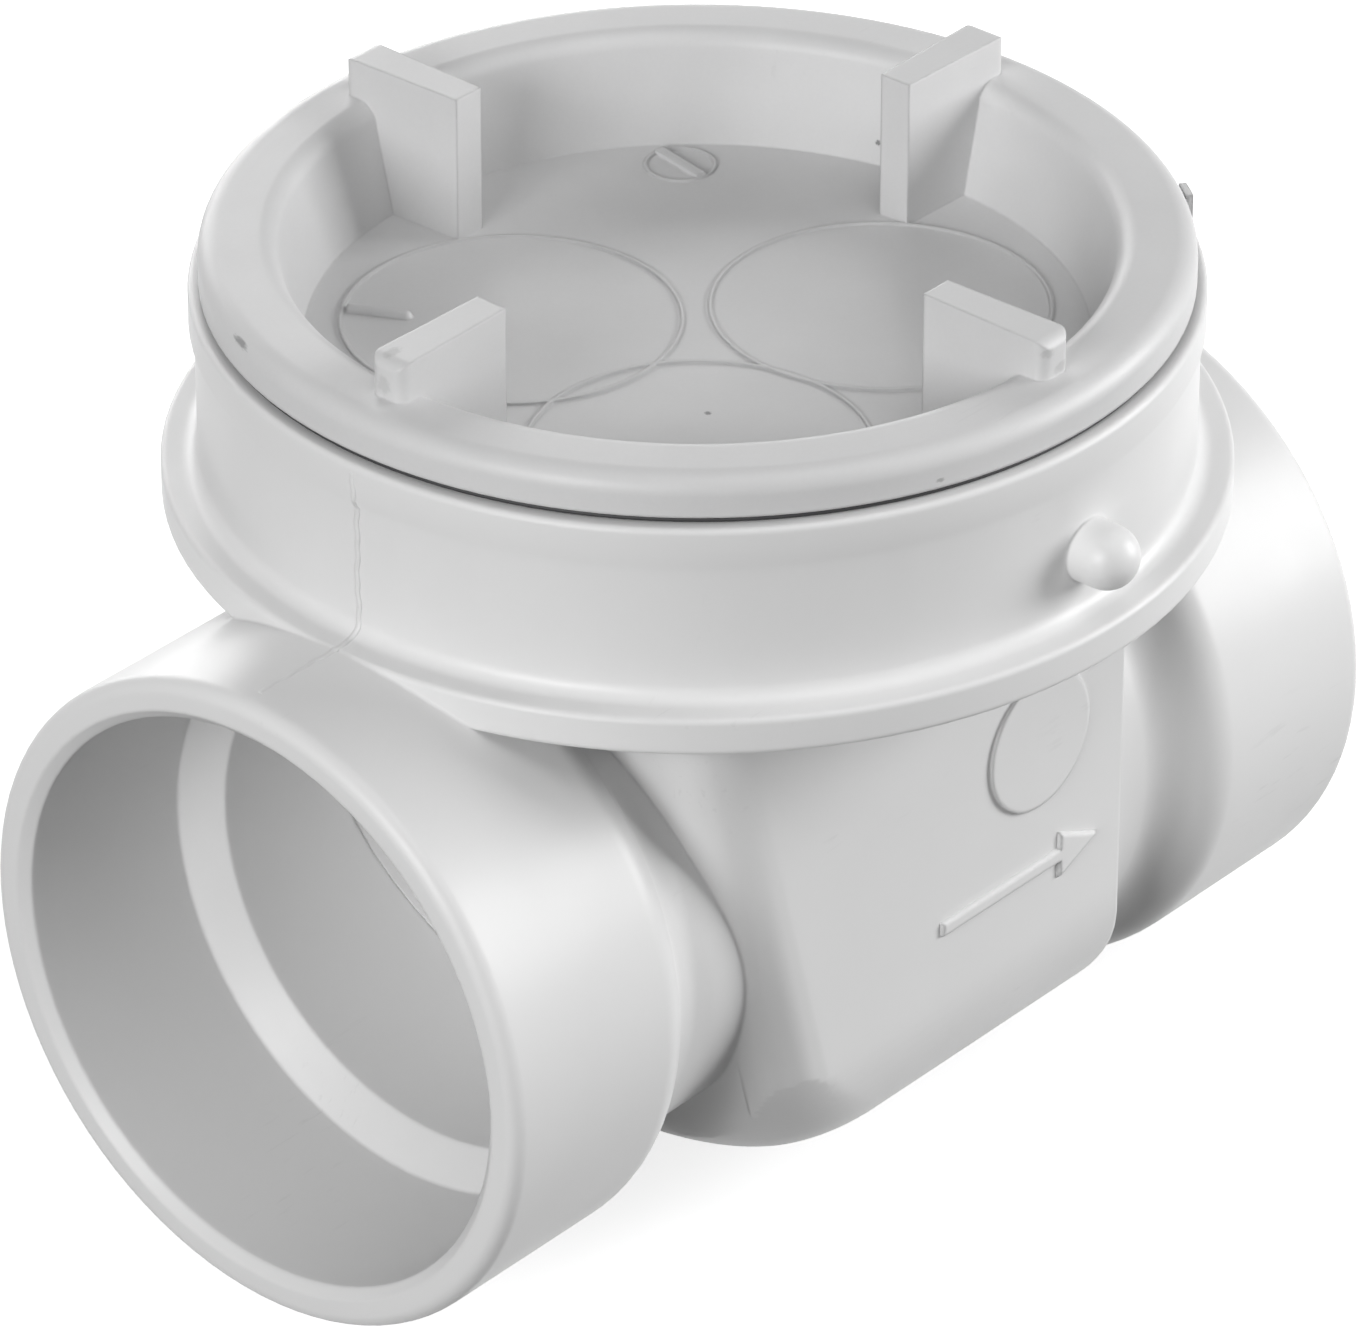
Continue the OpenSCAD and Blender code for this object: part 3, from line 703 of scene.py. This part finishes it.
def cross_head_screws():
    """Pan-head screws with a cross recess: a profile turned about each screw's axis, square to the seat.

    The head's height falls with the cube of the radius. Two crossed slots sink into it, where the
    smaller of the two distances from the slots' centre lines is under half a slot, and fade outwards.
    """
    turn = np.linspace(0, 2 * math.pi, 72, endpoint=False)
    head_rows = 30
    pole_r = 0.01 * MM
    head_r = np.linspace(pole_r, SCREW_HEAD_R, head_rows)
    head_z = SCREW_HEAD_H * (1 - 0.4 * (head_r / SCREW_HEAD_R) ** 3)
    below_r = np.array([SCREW_HEAD_R, SCREW_R, SCREW_R, 0.6 * SCREW_R, pole_r])
    below_z = np.array([0, 0, 0.8 * MM - SCREW_LENGTH, -SCREW_LENGTH, -SCREW_LENGTH])
    radius = np.concatenate([head_r, below_r])[:, None]
    across, up = radius * np.cos(turn), radius * np.sin(turn)
    slot_half, slot_reach, slot_depth = 0.55 * MM, 2.3 * MM, 1.2 * MM
    near = np.minimum(abs(across), abs(up))
    in_slot = 1 - smooth_step(0.8 * slot_half, 1.2 * slot_half, near)
    in_reach = 1 - smooth_step(0.75, 1.0, radius / slot_reach)
    on_head = (np.arange(len(radius)) < head_rows)[:, None]
    out = np.concatenate([head_z, below_z])[:, None] - slot_depth * in_slot * in_reach * on_head
    spread = (np.arange(SCREW_COUNT) + 0.5) * 2 * math.pi / SCREW_COUNT
    side = up[None] - SCREW_REACH * np.sin(spread)[:, None, None]
    rise = across[None] + SCREW_REACH * np.cos(spread)[:, None, None]
    axis_x = np.broadcast_to(SCREW_FACE_X - out[None], side.shape)
    points = np.stack([
        SEAT_X + axis_x * math.cos(SEAT_TILT) - rise * math.sin(SEAT_TILT), side,
        axis_x * math.sin(SEAT_TILT) + rise * math.cos(SEAT_TILT)], -1)
    rows, around = radius.shape[0], len(turn)
    walls = grid_faces(rows, around, wrap_columns=True)
    faces = []
    for first in range(0, SCREW_COUNT * rows * around, rows * around):
        faces += (walls + first).tolist()
        faces.append(list(range(first, first + around)))
        faces.append([first + (rows - 1) * around + k for k in reversed(range(around))])
    return turn_outwards(mesh_object("cross_head_screws", points.reshape(-1, 3), faces))


screws = cross_head_screws()
dress(screws, STAINLESS)
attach(screws, "flapper")
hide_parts("retainer_screws")


# Studio: pale floor, soft lamps and the photograph's camera


# How much light the floor sends back to the part, and what it adds where it is seen or mirrored
FLOOR_BOUNCE = 0.04
FLOOR_GLOW = 0.7

# Even light from all round
SKY_FILL = 0.09


def pale_floor():
    """Wide floor under the part: pale to the camera and in reflections, dull to bounced light."""
    half = 6.0
    level = cad_box[0][2] - 0.2 * MM
    corners = [[-half, -half, level], [half, -half, level], [half, half, level], [-half, half, level]]
    floor = mesh_object("floor", corners, [[0, 1, 2, 3]], smooth=False)
    made, tree, shader, _ = new_material("pale_floor")
    path = add_node(tree, "ShaderNodeLightPath")
    seen = math_node(tree, "MAXIMUM", path.outputs["Is Camera Ray"], path.outputs["Is Glossy Ray"])
    seen = math_node(tree, "MAXIMUM", seen, path.outputs["Is Transmission Ray"])
    colour = add_node(tree, "ShaderNodeMix", data_type="RGBA")
    colour.inputs["A"].default_value = (FLOOR_BOUNCE, FLOOR_BOUNCE, FLOOR_BOUNCE, 1)
    colour.inputs["B"].default_value = (0.65, 0.65, 0.65, 1)
    tree.links.new(seen, colour.inputs["Factor"])
    tree.links.new(colour.outputs["Result"], shader.inputs["Base Color"])
    shader.inputs["Roughness"].default_value = 0.9
    shader.inputs["Emission Color"].default_value = (1, 1, 1, 1)
    tree.links.new(math_node(tree, "MULTIPLY", seen, FLOOR_GLOW), shader.inputs["Emission Strength"])
    floor.data.materials.append(made)


def softbox(name, spot, aim, size, watts):
    """A square area lamp at spot, turned to aim."""
    lamp = bpy.data.lights.new(name, "AREA")
    lamp.shape = "SQUARE"
    lamp.size = size
    lamp.energy = watts
    holder = bpy.data.objects.new(name, lamp)
    bpy.context.scene.collection.objects.link(holder)
    holder.location = spot
    holder.rotation_euler = (Vector(aim) - Vector(spot)).to_track_quat("-Z", "Y").to_euler()


def studio_world():
    """White sky to the camera and in reflections, and a dimmer even fill for all other light."""
    world = bpy.data.worlds.new("studio")
    bpy.context.scene.world = world
    world.use_nodes = True
    tree = world.node_tree
    sky = tree.nodes["Background"]
    sky.inputs["Color"].default_value = (1, 1, 1, 1)
    path = add_node(tree, "ShaderNodeLightPath")
    seen = math_node(tree, "MAXIMUM", path.outputs["Is Camera Ray"], path.outputs["Is Glossy Ray"])
    seen = math_node(tree, "MAXIMUM", seen, path.outputs["Is Transmission Ray"])
    bright = math_node(tree, "MULTIPLY", seen, 1 - SKY_FILL)
    tree.links.new(math_node(tree, "ADD", bright, SKY_FILL), sky.inputs["Strength"])


def photo_camera():
    """Long-lens camera at the photograph's viewing angle, aimed so that no lens shift is needed."""
    spot = Vector((-1.0552, -0.9833, 0.9332))
    aim = Vector((0.0738, -0.0044, 0.0221))
    camera = bpy.data.cameras.new("photo_camera")
    camera.sensor_width = 36
    camera.lens = 245.1
    camera.clip_end = 50
    holder = bpy.data.objects.new("photo_camera", camera)
    bpy.context.scene.collection.objects.link(holder)
    holder.location = spot
    holder.rotation_euler = (aim - spot).to_track_quat("-Z", "Y").to_euler()
    bpy.context.scene.camera = holder


pale_floor()
studio_world()
CENTRE = (CAP_AXIS_X, 0, 0.02)
softbox("right", (1.35, -1.05, 0.5), CENTRE, 0.9, 29)
softbox("left", (-1.85, -0.35, 0.75), CENTRE, 1.0, 32)
softbox("high_front", (-0.3, -0.8, 1.9), CENTRE, 1.2, 9)
softbox("back", (1.0, 1.6, 0.5), CENTRE, 1.2, 20)
photo_camera()
bpy.context.scene.view_settings.view_transform = "Standard"
